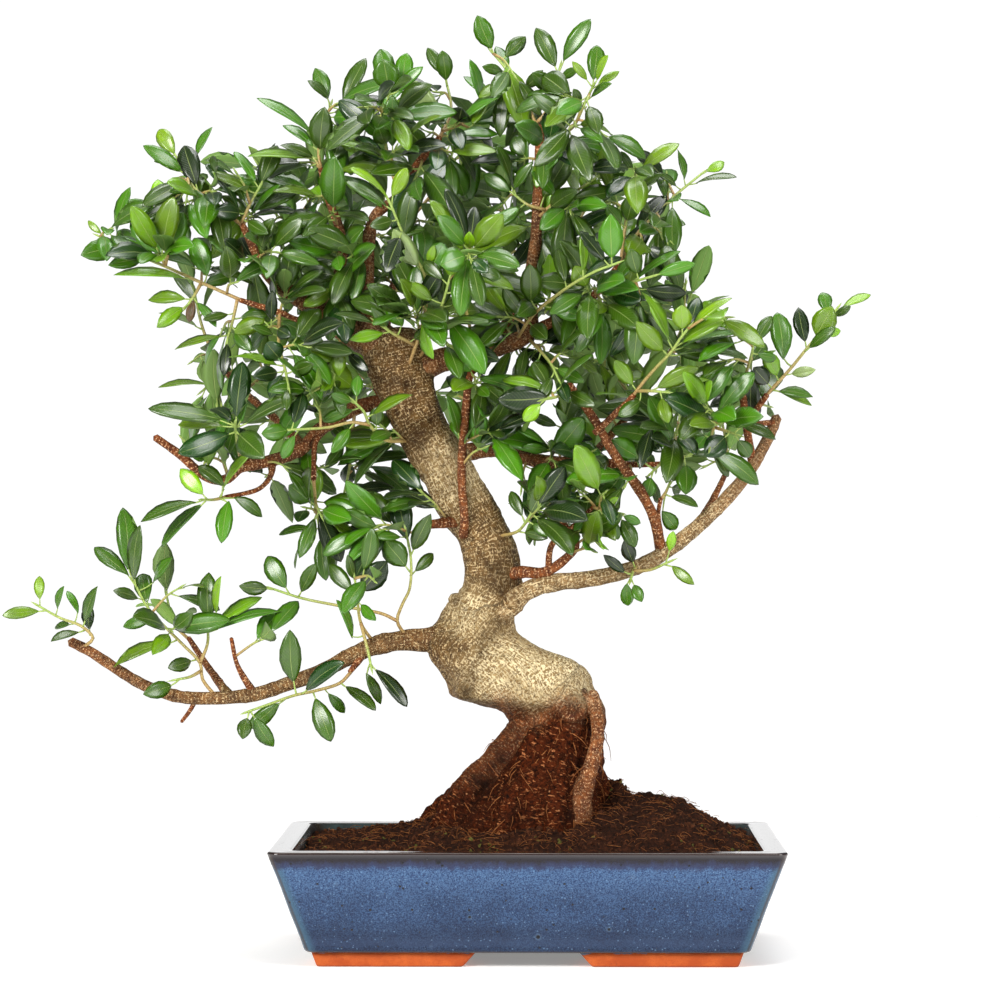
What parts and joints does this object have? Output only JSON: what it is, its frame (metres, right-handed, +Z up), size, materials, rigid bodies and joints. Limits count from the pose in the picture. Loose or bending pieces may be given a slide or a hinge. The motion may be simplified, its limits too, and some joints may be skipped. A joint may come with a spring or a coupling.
{
  "type": "chinese banyan bonsai",
  "caption": "Miniature banyan tree with an S-shaped trunk, spreading roots and glossy oval leaves, grown in a rectangular blue-glazed pot on low feet.",
  "frame": {"origin": "on the standing surface, under the middle of the whole object's bounding box", "axes": "+Z up, -Y towards the front of the pot, +X to the viewer's right"},
  "size_m": [0.6926, 0.3358, 0.7511],
  "materials": {
    "glaze": "mottled blue gloss glaze, brown where it thins at the rim, bare terracotta feet",
    "screen": "matte",
    "peat": "dark crumbly peat with orange-brown fibres",
    "bark": "grey-brown bark with pale cross lines",
    "leaf": "glossy above, duller and paler below"
  },
  "bodies": {
    "root": {"pot": "glaze", "drain_screen_left": "screen", "drain_screen_right": "screen", "soil": "peat", "trunk": "bark", "spray_far_left": "leaf", "spray_left_tall": "leaf", "spray_left_inner": "leaf", "spray_left_neck": "leaf", "spray_neck_tall": "leaf", "spray_mid_rosette": "leaf", "spray_mid_rear": "leaf", "spray_mid_low": "leaf", "spray_mid_hanging": "leaf", "spray_mid_inner": "leaf", "spray_crook": "leaf", "spray_left_drape": "leaf", "spray_shoulder": "leaf", "spray_left_arch": "leaf", "spray_upper_left_crest": "leaf", "spray_crown_left": "leaf", "spray_crown_middle": "leaf", "spray_crown_right": "leaf", "spray_front_arch": "leaf", "spray_front_fork": "leaf", "spray_front_light": "leaf", "spray_crown_tip": "leaf", "spray_crown_side": "leaf", "spray_heart_upper": "leaf", "spray_heart_middle": "leaf", "spray_heart_hanging": "leaf", "spray_heart_low": "leaf", "spray_right_top": "leaf", "spray_right_shelf": "leaf", "spray_right_light": "leaf", "spray_right_heart": "leaf", "spray_right_tip": "leaf", "spray_right_post": "leaf", "spray_right_drop": "leaf", "spray_trunk_edge": "leaf", "spray_centre_right": "leaf", "spray_centre_under": "leaf", "spray_centre_low": "leaf", "spray_limb_shoots": "leaf", "spray_limb_twig_leaves": "leaf", "spray_back_1": "leaf", "spray_back_2": "leaf", "spray_back_3": "leaf", "spray_back_4": "leaf", "spray_back_5": "leaf", "spray_back_6": "leaf", "spray_back_7": "leaf", "spray_back_8": "leaf", "spray_back_9": "leaf", "spray_back_10": "leaf", "spray_back_11": "leaf", "spray_back_12": "leaf", "spray_back_13": "leaf", "spray_back_14": "leaf"}
  },
  "joints": []
}
